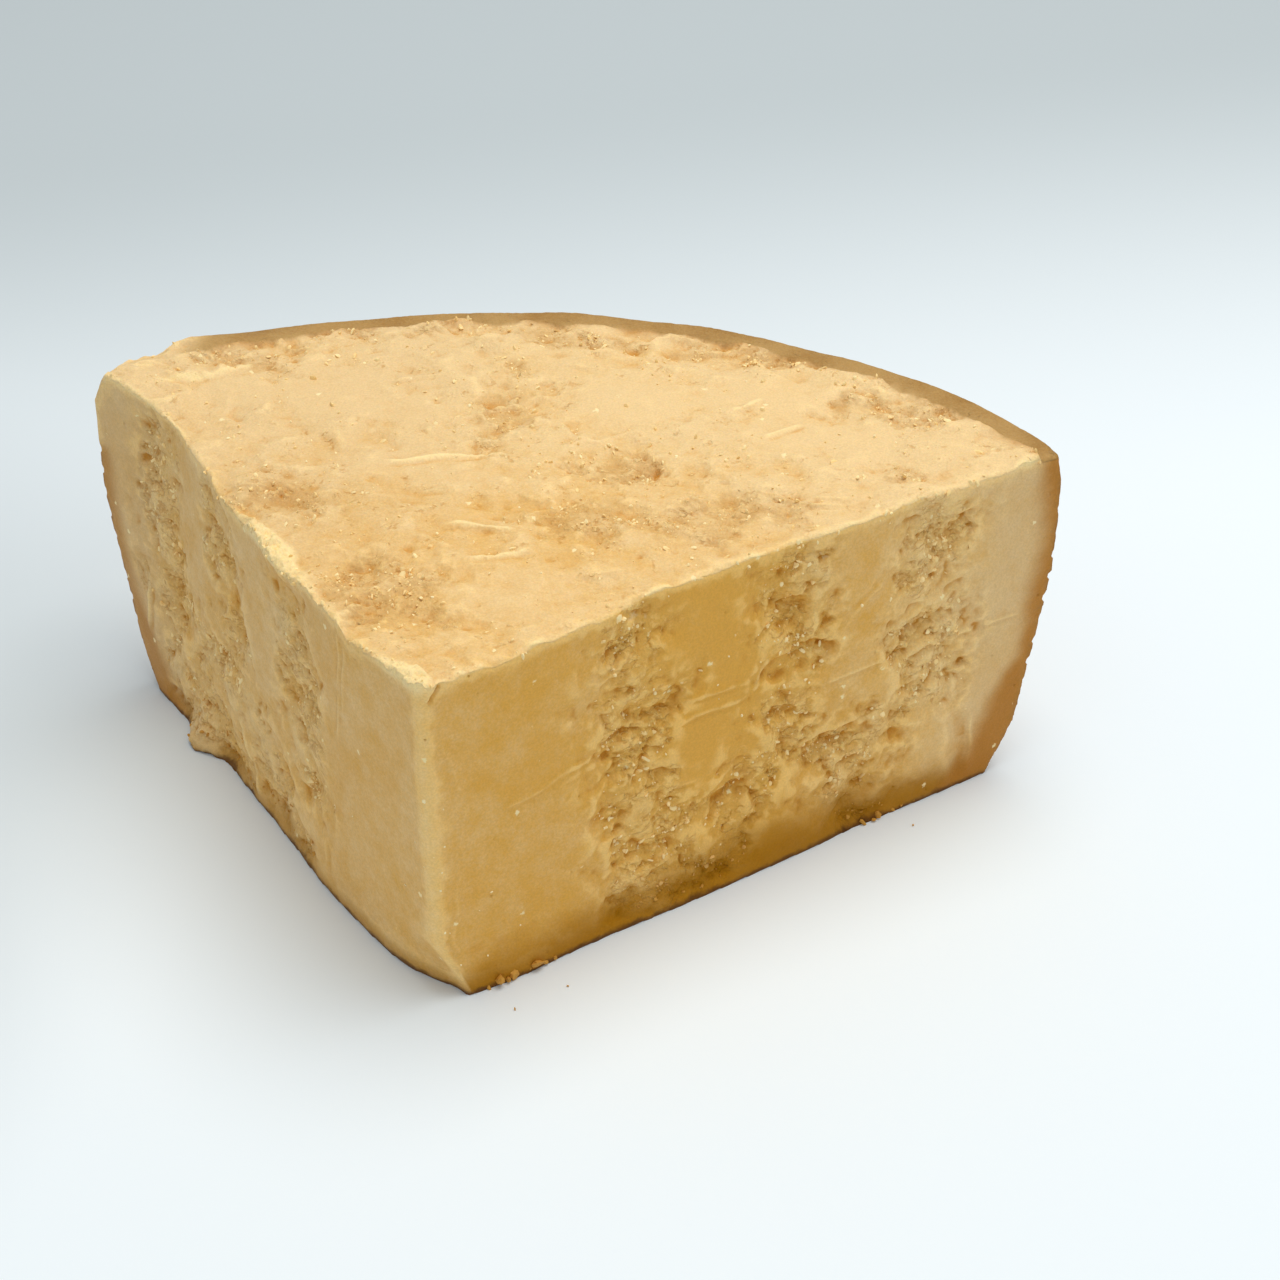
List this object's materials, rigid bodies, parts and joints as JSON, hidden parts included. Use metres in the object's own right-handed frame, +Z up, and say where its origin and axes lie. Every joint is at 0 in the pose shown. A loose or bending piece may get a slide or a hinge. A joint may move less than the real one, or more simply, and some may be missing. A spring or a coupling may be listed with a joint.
{
  "type": "parmesan chunk",
  "caption": "Large chunk of aged hard cheese from a wheel split at half its height: craggy upright cut faces meeting in a front edge, broken top and brown rind round the back.",
  "frame": {"origin": "middle of the part's bounding box in X and Y, on the flat base that it stands on", "axes": "+Z up from the base to the broken top face; +Y from the front edge where the two cut faces meet towards the curved rind at the back; +X to the right"},
  "size_m": [0.3164, 0.2146, 0.1218],
  "materials": {
    "cheese": "slightly oily pale yellow cheese, matt and grainy where it broke, brown dry rind on the side, base and rim"
  },
  "bodies": {
    "root": {"cheese_chunk": "cheese"}
  },
  "joints": []
}
